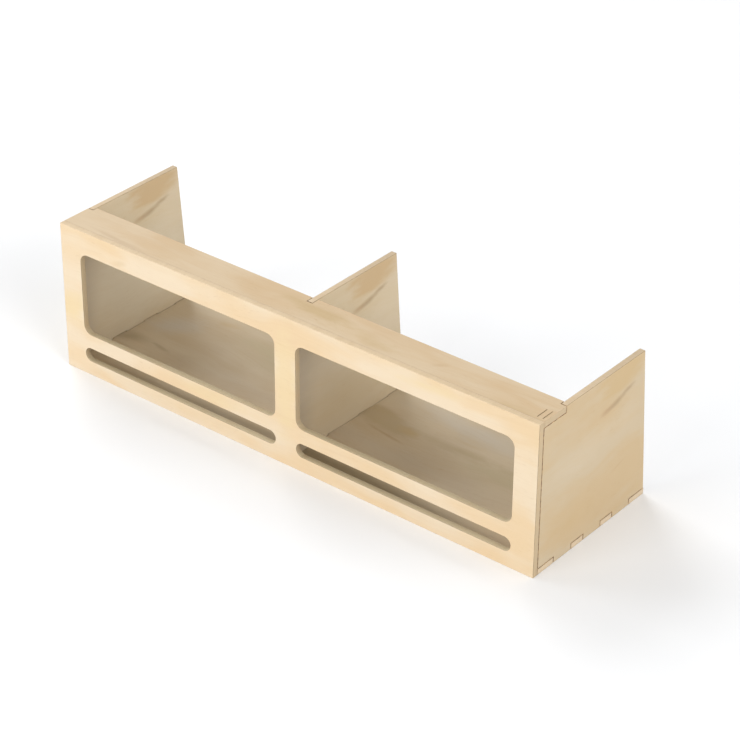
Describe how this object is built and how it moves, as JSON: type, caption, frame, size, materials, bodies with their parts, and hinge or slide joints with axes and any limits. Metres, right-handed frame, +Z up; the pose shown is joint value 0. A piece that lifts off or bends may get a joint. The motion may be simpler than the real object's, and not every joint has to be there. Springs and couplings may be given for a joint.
{
  "type": "paint rack organizer",
  "caption": "Open-backed plywood rack module for paint pots and bottles: windowed front with label slots, base, end panels, a divider and a notched top rail",
  "frame": {"origin": "middle of the footprint, on the surface the rack stands on", "axes": "+X along the length towards the end with the two cut marks, +Y from the windowed front to the open back, +Z up"},
  "size_m": [0.3, 0.091, 0.084],
  "materials": {
    "front_wood": "bare sanded plywood, satin",
    "rail_wood": "bare sanded plywood, satin",
    "base_wood": "bare sanded plywood, satin",
    "side_wood": "bare sanded plywood, satin",
    "divider_wood": "bare sanded plywood, satin"
  },
  "bodies": {
    "root": {"front_panel": "front_wood", "top_rail": "rail_wood", "base_panel": "base_wood", "left_side": "side_wood", "middle_divider": "divider_wood", "right_side": "side_wood"}
  },
  "joints": []
}
